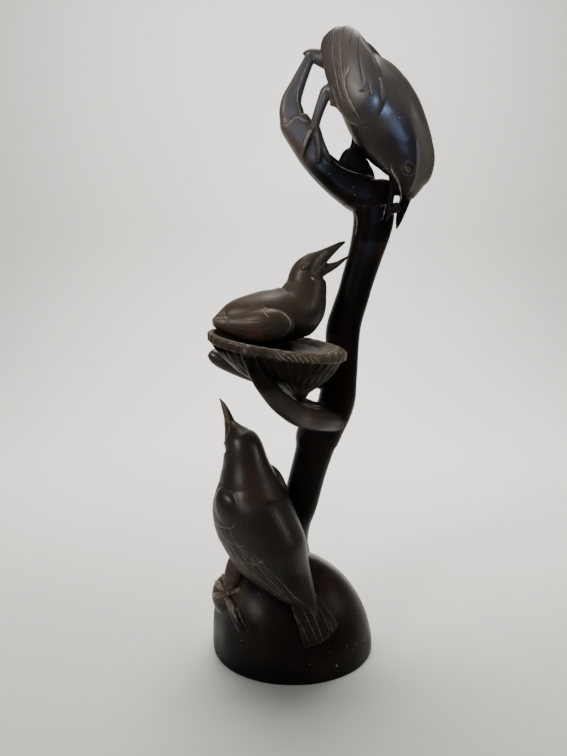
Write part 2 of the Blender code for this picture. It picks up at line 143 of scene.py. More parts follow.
class Frame:
    """A bird's own axes: forward along its body, to its left, and out of its back."""

    def __init__(self, origin, forward, left, roll=0.0):
        self.origin = np.array(origin, float)
        self.forward = unit(forward)
        left = np.array(left, float)
        left = unit(left - self.forward * left.dot(self.forward))
        back = np.cross(self.forward, left)
        turn = math.radians(roll)
        self.left = left * math.cos(turn) + back * math.sin(turn)
        self.back = np.cross(self.forward, self.left)

    def at(self, forward, left, back):
        return self.origin + forward * self.forward + left * self.left + back * self.back

    def stations(self, rows):
        """Rows that start with forward, left and back, with that place turned into world axes."""
        return [(*self.at(*row[:3]), *row[3:]) for row in rows]

    def local(self, points):
        """Points as forward, left and back from the origin."""
        return (points - self.origin) @ np.column_stack([self.forward, self.left, self.back])


LOWER_FRAME = Frame((-30, -12, 110), (-0.394, 0.273, 0.878), (-0.573, -0.82, 0))
MIDDLE_FRAME = Frame((-8, -8, 0), (0.978, 0.208, 0), (-0.208, 0.978, 0))
TOP_FRAME = Frame((70, -14, 452), (0.588, -0.175, -0.789), (0.269, 0.963, -0.013), roll=15)


def smooth_rows(rows, spans=SPANS):
    """A Catmull-Rom curve through the rows, all their columns alike."""
    rows = np.array(rows, float)
    padded = np.vstack([2 * rows[0] - rows[1], rows, 2 * rows[-1] - rows[-2]])
    out = []
    for i in range(len(rows) - 1):
        before, start, end, after = padded[i : i + 4]
        for t in np.arange(spans) / spans:
            curve = 2 * start + (end - before) * t
            curve += (2 * before - 5 * start + 4 * end - after) * t**2
            curve += (3 * start - before - 3 * end + after) * t**3
            out.append(curve / 2)
    return np.array([*out, rows[-1]])


def add_rings(mesh, rings):
    """Closed skin through rings of equal count, with a point in the middle of each end."""
    rows = [[mesh.verts.new(point * MM) for point in ring] for ring in rings]
    count = len(rows[0])
    for lower, upper in zip(rows, rows[1:]):
        for i in range(count):
            j = (i + 1) % count
            mesh.faces.new((lower[i], lower[j], upper[j], upper[i]))
    for row, ring, step in ((rows[0], rings[0], -1), (rows[-1], rings[-1], 1)):
        pole = mesh.verts.new(np.mean(ring, axis=0) * MM)
        for i in range(count):
            ends = (row[i], row[(i + 1) % count])
            mesh.faces.new((*ends[::step], pole))


def loft(mesh, stations, across=(0.0, 1.0, 0.0), square=2.0):
    """Tube through stations of x, y, z, radius in its plane and radius across it.

    A sixth number cuts the section flat below the centre, at that share of the radius in the plane.
    """
    rows = smooth_rows([(*row, 1.0) if len(row) == 5 else row for row in stations])
    centres = rows[:, :3]
    radii = np.maximum(rows[:, 3:5], THINNEST)
    along = np.gradient(centres, axis=0)
    angles = 2 * math.pi * np.arange(SIDES) / SIDES
    power = 2.0 / square
    cosines = np.sign(np.cos(angles)) * np.abs(np.cos(angles)) ** power
    sines = np.sign(np.sin(angles)) * np.abs(np.sin(angles)) ** power
    rings = []
    for centre, (tall, wide), heading, flat in zip(centres, radii, along, rows[:, 5]):
        heading = unit(heading)
        side = unit(np.array(across) - heading * heading.dot(across))
        up = np.cross(heading, side)
        heights = tall * np.maximum(cosines, -flat)
        rings.append(centre + np.outer(heights, up) + wide * np.outer(sines, side))
    add_rings(mesh, rings)


def bird_loft(mesh, bird, rows, square=2.0):
    """Tube through rows in the bird's own axes."""
    loft(mesh, bird.stations(rows), bird.left, square)


def ball(mesh, centre, radii, across=(0.0, 1.0, 0.0), along=(0.0, 0.0, 1.0)):
    """Ellipsoid with radii along, in its plane and across."""
    stations = []
    for angle in np.linspace(-math.pi / 2, math.pi / 2, 7):
        place = np.array(centre) + unit(along) * radii[0] * math.sin(angle)
        share = max(math.cos(angle), 0.05)
        stations.append((*place, radii[1] * share, radii[2] * share))
    loft(mesh, stations, across)


def mirrored(rows):
    return [(forward, -left, *rest) for forward, left, *rest in rows]


MOUND_RIDGE = [
    (-56, -27, 58, 2, 2),
    (-51, -34, 53, 3.4, 3.6),
    (-46.5, -38.6, 45.5, 3.8, 3.8),
    (-41.5, -42, 38, 3.4, 3.4),
    (-36, -45, 30.5, 1.5, 1.5),
]


def mound(mesh):
    """Rounded rock, squarer on the left, where the lower bird grips a hump at its edge."""
    angles = 2 * math.pi * np.arange(96) / 96
    left_share = ((1 - np.cos(angles)) / 2) ** 1.5
    front_share = np.clip(-np.sin(angles), 0, 1) ** 2
    square = MOUND_SQUARE_RIGHT + (MOUND_SQUARE_LEFT - MOUND_SQUARE_RIGHT) * left_share
    square = square - MOUND_FRONT_SLOPE * front_share
    tall = MOUND_HEIGHT_RIGHT + (MOUND_HEIGHT_LEFT - MOUND_HEIGHT_RIGHT) * left_share
    rings = []
    for level in (-0.05, *np.sin(np.radians(np.linspace(0, 84, 29)))):
        share = (1 - max(level, 0) ** square) ** (1 / square)
        share = share - MOUND_FOOT_TUCK * max(1 - level / 0.14, 0) ** 2
        swell = sum(
            rise
            * np.exp(-((((np.degrees(angles) - turn + 180) % 360 - 180) / spread) ** 2))
            * math.exp(-(((level - height) / band) ** 2))
            for turn, spread, height, band, rise in MOUND_SWELLS
        )
        x = (BASE_WIDTH / 2 * share + swell) * np.cos(angles)
        y = (BASE_DEPTH / 2 * share + swell) * np.sin(angles)
        rings.append(np.column_stack([x, y, level * tall]))
    add_rings(mesh, rings)
    ball(mesh, (-54, -11, 52), (19, 16.5, 17))
    loft(mesh, MOUND_RIDGE)


TRUNK = [
    (-2, 20, 66, 21, 21),
    (-1, 21, 80, 17, 17),
    (-0.5, 21, 90, 15.2, 15.5),
    (2, 21, 107, 15, 15),
    (7.5, 21, 126, 16, 15.5),
    (13.8, 21, 151, 16, 15.5),
    (19.5, 21, 173, 17, 16),
    (22, 21, 184, 19.4, 16.5),
    (27.3, 21, 196, 19.5, 17),
    (36.3, 21.5, 209, 16.6, 17),
    (40, 22, 222, 16.2, 16),
    (42, 22, 240, 15.2, 15),
    (43.5, 22, 262, 14.6, 14.5),
    (44.2, 22, 281, 15, 14.5),
    (48.1, 21, 297, 14.2, 14),
    (53.2, 20, 314, 13.9, 14),
    (58.2, 18, 333, 14.2, 14),
    (64, 15, 354, 15.2, 15),
    (67.5, 12.5, 374, 16.8, 16),
    (66, 12, 388, 16.5, 16),
    (62, 12, 398, 11, 12),
]


def trunk(mesh):
    loft(mesh, TRUNK, square=2.4)


LOOP = [
    (82, 12, 391.8, 5, 6),
    (76.5, 12, 396.2, 9.8, 10.5),
    (62, 12, 392.5, 15, 15),
    (43, 12, 401.5, 13.2, 13.5),
    (25.4, 11, 414.9, 11.3, 12.5),
    (13.5, 9, 427.4, 10.8, 12),
    (5.8, 7, 441.5, 12.4, 11),
    (0, 6, 450.4, 11.8, 10),
    (-1.5, 5.5, 455.5, 8, 7.5),
]
TWIG = [
    (2, 6, 445, 9, 8),
    (-1.4, 5, 455, 10.2, 8.5),
    (-1.6, 4, 465, 8.2, 7.5),
    (2.8, 3, 476, 6.2, 6),
    (9.5, 2, 490, 4.7, 4.7),
    (13, 2, 497, 4.2, 4.2),
    (15, 2, 501, 2, 2),
]


def top_loop(mesh):
    """The trunk's end bends left and up, and narrows past a knot to a twig that meets the bird's tail."""
    loft(mesh, LOOP, square=3.2)
    loft(mesh, TWIG, square=3.2)


FRONT_ARM = [
    (38, 13, 201, 8.5, 9),
    (25, -2, 206, 10, 10),
    (10, -16, 211, 9.6, 9.5),
    (-0.6, -28, 218, 9.2, 9),
    (-11.2, -38, 228, 8.4, 8.5),
    (-20.3, -45, 239.4, 7.4, 7.5),
    (-27.4, -50, 250, 6.2, 6.5),
    (-31.8, -51.5, 260, 5.7, 6),
    (-35, -51.5, 268, 5.6, 5.5),
    (-36.5, -50, 273, 3.4, 3.5),
]
BACK_ARM = [
    (42, 26, 234, 9, 10),
    (10, 28, 239, 9, 9),
    (-20, 25, 239, 8.5, 8.5),
    (-42, 23, 245.5, 8, 8),
    (-60, 23, 253, 7.4, 7),
    (-68, 24, 257.5, 6.8, 6.4),
    (-72.6, 25, 261.5, 4.4, 4.4),
]


def arms(mesh):
    """The two side arms that carry the nest: one in front of it and one behind."""
    loft(mesh, FRONT_ARM, square=2.4)
    loft(mesh, [(4, -12, 222, 6, 7), (11, -3, 219.5, 5, 6), (19, 6, 215.5, 4.5, 6), (30, 14, 212, 6, 7)])
    loft(mesh, BACK_ARM)


NEST_ROWS = [
    # Shift to the right and back, shares of the half width and half depth, height over the rim, straw
    (19, 8, 0.06, 0.08, -50, 0),
    (13, 7, 0.24, 0.28, -42, 0.3),
    (8, 5, 0.49, 0.51, -33.5, 0.5),
    (3.7, 3, 0.66, 0.69, -27, 0.6),
    (1.3, 1, 0.81, 0.82, -18, 0.8),
    (-0.4, 0, 0.905, 0.9, -10.5, 0.6),
    (-1, 0, 0.945, 0.93, -7.2, 0.4),
    (0, 0, 0.995, 0.99, -5.8, 0.5),
    (0, 0, 1.0, 1.0, -1, 0.5),
    (0, 0, 0.98, 0.97, 0.9, 0.2),
    (0, 0, 0.9, 0.88, 0.9, 0.2),
    (-2, 0, 0.74, 0.72, -2, 0.4),
    (-4, 0, 0.45, 0.45, -6, 0.3),
    (-4, 0, 0.1, 0.1, -8, 0),
]


def nest(mesh):
    """Deep cup of straw with a ragged rim, tilted towards the trunk and the viewer."""
    angles = 2 * math.pi * np.arange(72) / 72
    rings = []
    for step, (dx, dy, wide, deep, drop, straw) in enumerate(NEST_ROWS):
        wave = straw * STRAW_DEPTH * np.sin(STRAW_COUNT * angles + 1.1 * step)
        x = dx + (NEST_HALF_WIDTH * wide + wave * (drop < 0)) * np.cos(angles)
        y = dy + (NEST_HALF_DEPTH * deep + wave * (drop < 0)) * np.sin(angles)
        tilt = min(1.0, wide * 1.2)
        z = drop + tilt * (NEST_TILT_RIGHT * x + NEST_TILT_BACK * y) + wave * (drop >= -0.5)
        rings.append(np.column_stack([x, y, z]) + NEST_CENTRE)
    add_rings(mesh, rings)


def eye(mesh, bird, place, radius):
    """A low bead on both sides of the head; its ring is cut later."""
    forward, left, back = place
    for side in (1, -1):
        centre = bird.at(forward, side * left, back)
        ball(mesh, centre, (radius, radius * 0.8, radius * 0.8), bird.forward, bird.left)


# Lower bird, in its own axes; its legs and toes in the frame of the part
LOWER_BODY = [
    (-66, 0, 20, 4, 7),
    (-52, 0, 14, 13, 13),
    (-29, 0, 9, 22.5, 22),
    (-2, 0, 3.6, 32.4, 27),
    (21, 0, 4.5, 33, 28),
    (43, 0, 11.5, 26.5, 24),
    (58, 0, 17, 20.5, 19),
    (71, 0, 20.8, 17.5, 16),
    (80, 0, 19.6, 13.4, 13),
    (88, 0, 18.4, 8.5, 8.2),
    (94, 0, 17.8, 5.3, 5),
]
LOWER_BEAK = [
    (84, 0, 18, 8, 7.5),
    (93, 0, 17.6, 6, 5),
    (99, 0, 18.4, 4.4, 3.8),
    (105.4, 0, 18.8, 3.6, 2.8),
    (112, 0, 18.6, 2.4, 1.8),
    (118.5, 0, 17.4, 0.6, 0.6),
]
LOWER_CLOAK = [
    (-79, 0, 24.5, 1.5, 2.5, 0.3),
    (-70, 0, 22, 6, 7.5, 0.3),
    (-58, 0, 17, 12.5, 16, 0.4),
    (-42, 0, 10.5, 23.5, 21.5, 0.45),
    (-24, 0, 6, 32.5, 26.4, 0.6),
    (2, 0, 2.2, 35.8, 29.8, 0.72),
    (22, 0, 3.4, 34.1, 30.2, 0.8),
    (37, 0, 7.6, 28.2, 26.4, 0.8),
    (50, 0, 12.4, 20.8, 19.6, 0.8),
    (61, 0, 16.5, 14, 13, 0.8),
]
LOWER_FAR_SHOULDER = [
    (51.5, -16.5, 11.5, 4, 5),
    (46, -20.5, 13, 11, 7.5),
    (38, -23, 13, 15.8, 8.5),
    (26, -24, 10.6, 17.6, 9),
    (10, -23, 7.6, 16, 8.5),
    (-8, -21.5, 5, 11, 6),
    (-22, -19, 4, 6, 4),
]
LOWER_NEAR_SHOULDER = [
    (45, 16, 4, 4, 5),
    (38.5, 20.6, 2.5, 11.4, 8.4),
    (28, 22.6, 2, 14.8, 9.2),
    (14, 22, 2, 14, 8),
    (-4, 22, 0, 8, 5),
]
LOWER_NEAR_LEG = [
    (-36, -12, 98, 12, 12),
    (-45.5, -15, 86, 9.4, 9.4),
    (-50.4, -17, 77, 8, 8.2),
    (-52.4, -20, 70, 6.6, 6.8),
    (-53.5, -24, 64, 3.6, 3.6),
]
LOWER_NEAR_TOES = [
    [(-57.2, -20.6, 69.6), (-61, -12, 71.4)],
    [(-63.2, -20.2, 65.2), (-67, -12.5, 64.8)],
    [(-64.6, -23.6, 57.8), (-69, -17, 57.2)],
    [(-47, -26, 63.6), (-41, -24, 65.5)],
]
LOWER_FAR_TOES = [
    [(-52, 13, 65.5), (-60, 12, 62)],
    [(-51, 17, 64.5), (-58, 20, 60)],
    [(-47.5, 20.5, 65.5), (-51, 27, 62)],
]


def lower_bird(mesh):
    """Stands at the left of the mound, seen from behind its left wing, and looks up."""
    bird = LOWER_FRAME
    bird_loft(mesh, bird, LOWER_BODY)
    bird_loft(mesh, bird, LOWER_BEAK)
    bird_loft(mesh, bird, LOWER_CLOAK, square=2.3)
    bird_loft(mesh, bird, LOWER_FAR_SHOULDER)
    bird_loft(mesh, bird, LOWER_NEAR_SHOULDER)
    eye(mesh, bird, (80, 7.2, 10.4), 2.0)
    for share in np.linspace(-1, 1, 6):
        start = np.array((8, -39.6, 63)) + share * np.array((7, 4, 1.6))
        end = np.array((25, -51, 33)) + share * np.array((12, 6.5, 5)) - abs(share) * np.array((2, -2, -3))
        middle = (start + end) / 2 + np.array((0.5, -1.5, 1.5))
        rows = [(*start, 3, 4), (*middle, 2.6, 3.4), (*end, 2, 2.6)]
        loft(mesh, rows, (0.84, 0.47, 0.27))
    loft(mesh, LOWER_NEAR_LEG)
    far_leg = [(-26, 12, 92, 10, 10), (-36, 14, 76, 7, 7), (-42, 15, 66, 5, 5), (-44, 14, 58, 4, 4)]
    loft(mesh, far_leg)
    claws(mesh, (-54.5, -26.4, 61.5), LOWER_NEAR_TOES, 2.3)
    claws(mesh, (-44, 14, 66), LOWER_FAR_TOES, 2.6)


def claws(mesh, ankle, toes, radius):
    """Toes that spread from the ankle, each bent at a joint on its way to the tip."""
    for joint, tip in toes:
        rows = [(*ankle, radius, radius), (*joint, radius, radius), (*tip, 0.5 * radius, 0.5 * radius)]
        loft(mesh, rows, (0.3, 0.2, 1.0))


# Middle bird, in its own axes
MIDDLE_BODY = [
    (-58, 0, 288.5, 3.4, 5),
    (-48, 0, 291, 9.8, 10),
    (-36, 0, 294.3, 14.7, 17),
    (-20, 0, 294.3, 20.1, 23.5),
    (-2, 0, 295, 22.2, 25.5),
    (12, 0, 301, 23, 24),
    (18.5, 0, 316, 18, 17.5),
    (20.2, 0, 327.5, 14.8, 13.5),
    (24.5, 0, 335, 11.3, 10.5),
    (30.5, 0, 340.3, 6.4, 6.5),
]
MIDDLE_UPPER_BEAK = [
    (24, 0, 337, 9, 8),
    (32, 0, 342, 6.4, 5.6),
    (38.5, 0, 346.5, 4.4, 4),
    (44, 0, 350.2, 2.9, 2.6),
    (49, 0, 353.4, 1.8, 1.6),
    (52.4, 0, 354.8, 0.8, 0.8),
]
MIDDLE_LOWER_BEAK = [
    (25, 0, 328, 7, 7),
    (34, 0, 332, 4.8, 5),
    (39, 0, 333.8, 3.8, 4),
    (45.3, 0, 336.6, 2.4, 2.6),
    (50.5, 0, 340, 1.6, 1.6),
    (55.6, 0, 343.4, 0.8, 0.8),
]
MIDDLE_WING = [
    (1, 21, 288.3, 3.5, 4),
    (-1.5, 22.6, 288.2, 8.6, 7),
    (-8, 23.2, 287.8, 12, 8),
    (-18, 22.4, 287, 13.2, 8),
    (-31, 17.5, 286.6, 11.6, 7),
    (-45, 10.5, 288, 7.6, 5.2),
    (-57, 5.5, 289.2, 3.4, 3),
]


def middle_bird(mesh):
    """Sits in the nest with its head up and its beak open, its right side to the viewer."""
    bird = MIDDLE_FRAME
    bird_loft(mesh, bird, MIDDLE_BODY)
    ball(mesh, bird.at(14.2, 0, 292.6), (16.3, 16, 19), bird.left)
    bird_loft(mesh, bird, MIDDLE_UPPER_BEAK)
    bird_loft(mesh, bird, MIDDLE_LOWER_BEAK)
    bird_loft(mesh, bird, MIDDLE_WING)
    bird_loft(mesh, bird, mirrored(MIDDLE_WING))
    eye(mesh, bird, (17.4, 12.6, 334.5), 2.8)


# Top bird, in its own axes; its tail, legs and toes in the frame of the part
TOP_BODY = [
    (-64, 0, 0, 5, 6),
    (-43.5, 0, 1, 15, 14),
    (-24, 0, 0.5, 24.5, 24),
    (-3, 0, -1.8, 28.2, 27),
    (17, 0, -4.6, 27.2, 26),
    (34, 0, -6.8, 23, 22),
    (46, 0, -10.8, 18.3, 18),
    (53.5, 0, -16, 13.3, 13.6),
    (59, 0, -21.5, 8.8, 9),
    (63, 0, -26, 5, 5),
]
TOP_CROWN = [
    (22, 0, -4.5, 19.5, 19),
    (33, 0, -6.2, 22.2, 19),
    (43, 0, -8, 20, 16.8),
    (51, 0, -12.2, 16.2, 13.4),
    (56.5, 0, -17.8, 10.8, 9.8),
    (60.4, 0, -21.8, 5, 5),
]
TOP_UPPER_BEAK = [
    (57, 0, -19.5, 7.4, 7.2),
    (62, 0, -26.8, 5, 4.8),
    (66, 0, -32.4, 4, 3.8),
    (69, 0, -37.3, 3.4, 3.1),
    (72.3, 0, -41.8, 2.5, 2.3),
    (76.2, 0, -47, 0.6, 0.6),
]
TOP_LOWER_BEAK = [
    (39, 0, -19, 5, 6),
    (43, 0, -25, 3, 4.6),
    (49, 0, -30, 2.2, 3.4),
    (56.1, 0, -36.9, 2.0, 2.5),
    (63.1, 0, -45.2, 1.4, 1.7),
    (66.1, 0, -49.6, 0.6, 0.6),
]
TOP_WING = [
    (8.5, 21, -6, 3, 4),
    (5.5, 22.5, -5.4, 10.5, 6.5),
    (-1, 23.6, -4.2, 15.4, 8.2),
    (-8, 23.9, -3.6, 18, 8.7),
    (-17, 23, -2.2, 19.2, 8.6),
    (-30, 20.5, 1, 20, 8),
    (-45, 16, 3.4, 19, 6.8),
    (-57, 11.5, 4, 16.6, 5.4),
    (-66, 8, 4, 12.8, 4.4),
    (-71.8, 6, 5, 7.8, 3),
]
TOP_MANTLE = [
    (-46, 0, 2, 11, 10, 0.4),
    (-38, 0, 2.5, 17, 17.5, 0.4),
    (-28, 0, 1.6, 22.6, 24.5, 0.4),
    (-15, 0, -0.2, 26.6, 28.6, 0.4),
    (-3, 0, -1.8, 28.2, 29, 0.4),
    (8, 0, -3.6, 27.2, 27.6, 0.4),
    (18, 0, -5.8, 24.4, 24.5, 0.4),
]
TOP_TAIL = [
    (48, -5, 487, 9, 6),
    (34, -2, 492.5, 8.6, 5),
    (22, 0, 496.5, 7, 4),
    (13, 2, 500, 4.4, 3),
    (7, 3.5, 501, 0.8, 0.8),
]
TOP_THIGH = [
    (60, -5, 445, 7, 7),
    (47, -13, 453, 8.6, 8.6),
    (36.5, -16, 459.6, 7.2, 6.2),
    (28, -15, 460.5, 4.6, 4),
]
TOP_NEAR_LEG = [
    (44, -18, 461, 7, 7),
    (34, -17, 463.5, 6.4, 6),
    (26, -15, 466.5, 5, 4.6),
    (22.4, -13, 460, 4.4, 4),
    (18.4, -10, 449.5, 4, 3.8),
    (16, -7, 441, 4.2, 3.8),
]
TOP_NEAR_TOES = [
    [(16, -6, 443), (11.4, -5, 434.6), (8.4, -4, 427.3), (6.5, -2.4, 420)],
    [(17, -6, 442), (19.5, -4.6, 432.9), (20.6, -3.6, 424.5), (19.5, -2.2, 416.5)],
    [(18, -5, 442), (22.2, -3.4, 431), (26.4, -2.4, 423), (30, -1, 417)],
]
TOP_FAR_LEG = [
    (53, 12, 446, 5, 5),
    (53, 13, 437, 5, 4.5),
    (53, 14, 430.5, 7.6, 5),
    (51, 14, 424, 11.6, 6),
    (50.4, 14, 417, 14.4, 6.5),
    (51, 14, 410, 16.6, 7),
    (52, 14, 403, 17, 7),
]


def top_bird(mesh):
    """Hangs head down inside the loop, its right side and back to the viewer, a grub in its beak."""
    bird = TOP_FRAME
    bird_loft(mesh, bird, TOP_BODY)
    bird_loft(mesh, bird, TOP_CROWN)
    bird_loft(mesh, bird, TOP_UPPER_BEAK)
    bird_loft(mesh, bird, TOP_LOWER_BEAK)
    mouth = [(44, 0, -20, 7, 6), (51, 0, -26, 5, 4), (56, 0, -31, 2.5, 2)]
    bird_loft(mesh, bird, mouth)
    bird_loft(mesh, bird, mirrored(TOP_WING))
    far_wing = [(0.95 * row[0], row[1], row[2] - 0.6, 0.95 * row[3], row[4]) for row in TOP_WING]
    bird_loft(mesh, bird, far_wing)
    bird_loft(mesh, bird, TOP_MANTLE)
    eye(mesh, bird, (47, 17.4, -10), 3.6)
    grub(mesh, (78.5, -17.5, 378.5))
    loft(mesh, TOP_TAIL)
    loft(mesh, TOP_THIGH)
    loft(mesh, TOP_NEAR_LEG, (0.2, -1.0, 0.2))
    for toe in TOP_NEAR_TOES:
        rows = [(*place, radius, radius) for place, radius in zip(toe, (3.4, 3, 2.7, 1.4))]
        loft(mesh, rows, (0.2, -1.0, 0.2))
    loft(mesh, TOP_FAR_LEG)


def grub(mesh, centre):
    """Short ringed body held between the two halves of the beak."""
    rows = []
    for step in range(9):
        along = -5 + 10 * step / 8
        radius = 4.3 if step % 2 else 3.7
        radius *= 0.7 if step in (0, 8) else 1.0
        place = np.array(centre) + along * unit((1, 0.05, 0.3))
        rows.append((*place, radius, radius))
    loft(mesh, rows)


# Lines cut on both sides of a bird: width, depth, how pale (painted shade below nought), forward and back
# places
LOWER_LINES = [
    (0.3, 0.2, 0.42, [(20.5, -17), (17, -11), (14.5, -4), (13, 3), (15, 8)]),
    (0.3, 0.2, 0.36, [(12.6, -14.7), (5.5, -10.3), (0.2, -4.5), (-3.1, 1.8), (-4.6, 7)]),
    (0.3, 0.2, 0.42, [(-12.5, -10), (-16.8, -4), (-20.6, 3.6), (-21.4, 11), (-19.6, 18.3)]),
    (0.3, 0.2, 0.34, [(8.8, -12), (-3.1, -8.4), (-20.4, -4.4), (-41.1, 7.9), (-60.2, 16.7)]),
    (0.3, 0.2, 0.42, [(14, -1), (4, -1), (-8, 2.2), (-21.7, 8.8), (-36.9, 13), (-53.2, 16.9), (-62, 20.4)]),
    (0.3, 0.2, 0.38, [(-12, 10.6), (-23.2, 15.1), (-43.6, 20.7), (-64.9, 24.1)]),
    (0.4, 0.35, 0.4, [(93, 21), (87, 20), (82, 16), (78, 12.5), (72, 9), (62, 5)]),
    (0.4, 0.35, 0.3, [(94, 16.8), (103, 17.8), (111, 17.6), (117, 16.6)]),
]
MIDDLE_LINES = [
    (0.45, 0.6, 0.75, [
        (-20.4, 302), (-16, 299.5), (-11.2, 298.8), (-6, 297.3), (-0.8, 290.9), (-1.1, 285.8),
    ]),
    (0.4, 0.4, 0.15, [(-1.1, 285.8), (-4.7, 281.5), (-11, 278.7)]),
    (0.4, 0.3, 0.4, [(-20.7, 298.3), (-18.4, 294.1)]),
    (0.35, 0.12, 0.07, [(-12, 288), (-24, 285), (-38, 285.5), (-52, 288.5)]),
    (0.35, 0.12, 0.07, [(-14, 293), (-26, 291), (-40, 290.5), (-53, 291.5)]),
    (0.35, 0.12, 0.06, [(-20, 282), (-30, 280), (-42, 283), (-54, 287.4)]),
    (0.4, 0.4, 0.25, [(-49.8, 299.4), (-48.2, 293.1), (-47.5, 288.1)]),
    (0.35, 0.2, 0.3, [(-58, 291.4), (-54, 291.2), (-49.5, 290)]),
    (0.35, 0.2, 0.3, [(-57.5, 293.8), (-54, 293.7), (-50, 293)]),
    (0.35, 0.2, 0.3, [(-56, 296.6), (-53, 296.4), (-50, 296)]),
    (0.5, 0.5, 0.5, [(36.1, 339.3), (32.2, 335.4), (26, 330.4), (21, 327.8)]),
    (0.45, 0.4, 0.3, [(35.6, 347.4), (27, 340.8), (22.5, 334), (19.8, 326.5)]),
    (0.45, 0.4, 0.25, [(36, 345.5), (30, 341.6), (26, 337), (28, 332.8)]),
    (1.1, 0.5, 0.85, [(19.8, 325.4), (21.4, 323.8)]),
]
TOP_LINES = [
    (0.3, 0.2, 0.45, [
        (-70, 9), (-63.2, 5.2), (-53.8, -0.9), (-47, -3.5), (-38.1, -7.1), (-29.2, -10.7), (-16, -15),
    ]),
    (0.3, 0.2, 0.5, [(-61.3, 10.9), (-49.5, 4.6), (-40.3, 0.2), (-33.4, -3.1), (-22, -7.4), (-8, -12)]),
    (0.3, 0.2, 0.45, [
        (-35.6, 4.9), (-31.9, 2.6), (-30.7, -2.1), (-24.9, -6.1), (-18.6, -8.3), (-11, -9.6), (0, -12),
    ]),
    (0.35, 0.3, -0.9, [(-64, 15.6), (-59.6, 11.8)]),
    (0.35, 0.3, -0.9, [(-56, 19.6), (-54.1, 18), (-47, 11.7)]),
    (0.35, 0.3, -0.7, [(-48, 21), (-44.1, 18.1), (-34.9, 13), (-25.1, 8.9), (-17.6, 5.9), (-15, 5.5)]),
    (1.0, 0, 0.3, [
        (-36.1, -14.2), (-28.3, -16.8), (-18.9, -19.4), (-10, -20.5), (-3.5, -19.9), (2.4, -16.6),
    ]),
    (0.8, 0, 0.22, [(-52, 19.4), (-46.8, 20.2), (-38.1, 20.4), (-29, 20.4), (-18, 17.4)]),
    (0.5, 0.4, 0.8, [(39.1, -16.9), (42.7, -19.6), (48.8, -20.8), (53.3, -22.8), (57.8, -26.3), (62, -31)]),
    (0.5, 0.1, 0.7, [(42.6, -32.5), (50.4, -39.4), (56.4, -43.8), (61.9, -50.1)]),
    (0.45, 0.3, 0.3, [(-10.3, 15), (-4, 12), (1.8, 8.4)]),
    (0.8, 0.3, 0.8, [(-11.4, 15.4), (-10.6, 15)]),
]
# Cracks in the top bird's near wing, which the far one has not, with painted shade in them
TOP_CRACKS = [
    (0.35, 0.4, -1.0, [(-12.6, -0.4), (-12.7, 4), (-13.7, 9.8)]),
    (0.35, 0.4, -1.0, [(-15, 8), (-13, 7.5), (-5.1, 4.4)]),
    (0.35, 0.4, -1.0, [(-14, 0.2), (-10.6, 2.6), (-9.4, 5.6)]),
]
# Steps: depth, reach, how pale, then places; the wood right of the path is the lower
CROWN_STEP = (1.0, 7.0, 0.1, [
    (36, 9), (44.1, 4.3), (50.8, -1.6), (56.1, -7.5), (59.4, -13.4), (61.4, -19.4), (62.6, -23),
])
BRANCH_CREASE = (0.9, 8.0, 0.0, [
    (82, 384.5), (71.7, 384.3), (63.6, 383.6), (55.8, 383.8), (48.1, 384.6), (40, 387),
])

# Edge of the top bird's crown: places forward, then back
CROWN_EDGE = [(20, 36, 44.1, 50.8, 56.1, 59.4, 61.4), (14, 9, 4.3, -1.6, -7.5, -13.4, -19.4)]

# Lines on the front of tail, mound and branch, as x and z: width, depth, how pale (painted shade below
# nought), places
TAIL_LINES = [
    (0.35, 0.35, 0.36, [(-2.1, 56.9), (6.8, 47.4), (15.1, 29)]),
    (0.35, 0.35, 0.42, [(6.5, 61.3), (14.2, 46.2), (20.5, 29.5)]),
    (0.35, 0.35, 0.42, [(13.7, 60.3), (19.9, 45.1), (25.9, 29.7)]),
    (0.35, 0.35, 0.25, [(22.5, 58), (27.4, 46), (31.7, 32.7)]),
    (0.35, 0.35, 0.3, [(30.1, 47.1), (33.4, 35)]),
    (0.35, 0.35, 0.25, [(33.8, 45), (36.4, 37)]),
]
MOUND_LINES = [
    (0.6, 0.2, 0.6, [(-51.6, 54.8), (-46.2, 45.3)]),
    (0.6, 0.2, 0.55, [(-46.6, 53.6), (-40.9, 43.4)]),
    (0.7, 0.9, -0.7, [(-48.6, 54), (-43.3, 44.9), (-36.2, 37)]),
]
BRANCH_LINES = [
    (0.45, 0.5, 0.45, [(-9.6, 445.1), (-4.4, 446.2), (2, 450.6), (6.7, 448.6), (11.4, 447.8)]),
    (0.5, 0.1, 0.5, [(12.5, 495), (4.2, 475.1), (2.7, 466.1), (3.1, 461.7), (5.1, 454.9), (7.5, 450.7)]),
    (0.45, 0, 0.4, [(30, 420), (35.3, 415.7), (42.5, 411.8), (51.7, 409.3), (61.6, 408.9), (72, 407.5)]),
    (0.5, 0, 0.4, [(14.6, 440.1), (10.7, 434.3), (8.4, 427.3)]),
    (0.8, 0.8, -0.7, [(17, 441), (12.4, 431), (8.4, 420.7)]),
    (0.4, 0, 0.4, [(51.1, 378.6), (52.7, 370.9), (51.7, 360.6)]),
    (0.6, 0, 0.6, [(6.3, 223.6), (11.5, 220.9), (16.7, 218.7), (23.4, 216.9)]),
]

# Middle of the trunk: heights, then x
TRUNK_MIDDLE = [
    (90, 126, 173, 209, 262, 297, 354, 374),
    (-0.5, 7.5, 19.5, 36.3, 43.5, 48, 64, 67.5),
]

# Eyes: whose, forward and back place, radius of the ring, share of the full height
EYES = [
    (LOWER_FRAME, (79.5, 13.4), 1.6, 0.5),
    (MIDDLE_FRAME, (14.6, 333), 2.9, 0.9),
    (TOP_FRAME, (50.1, -9.0), 3.8, 1.0),
]
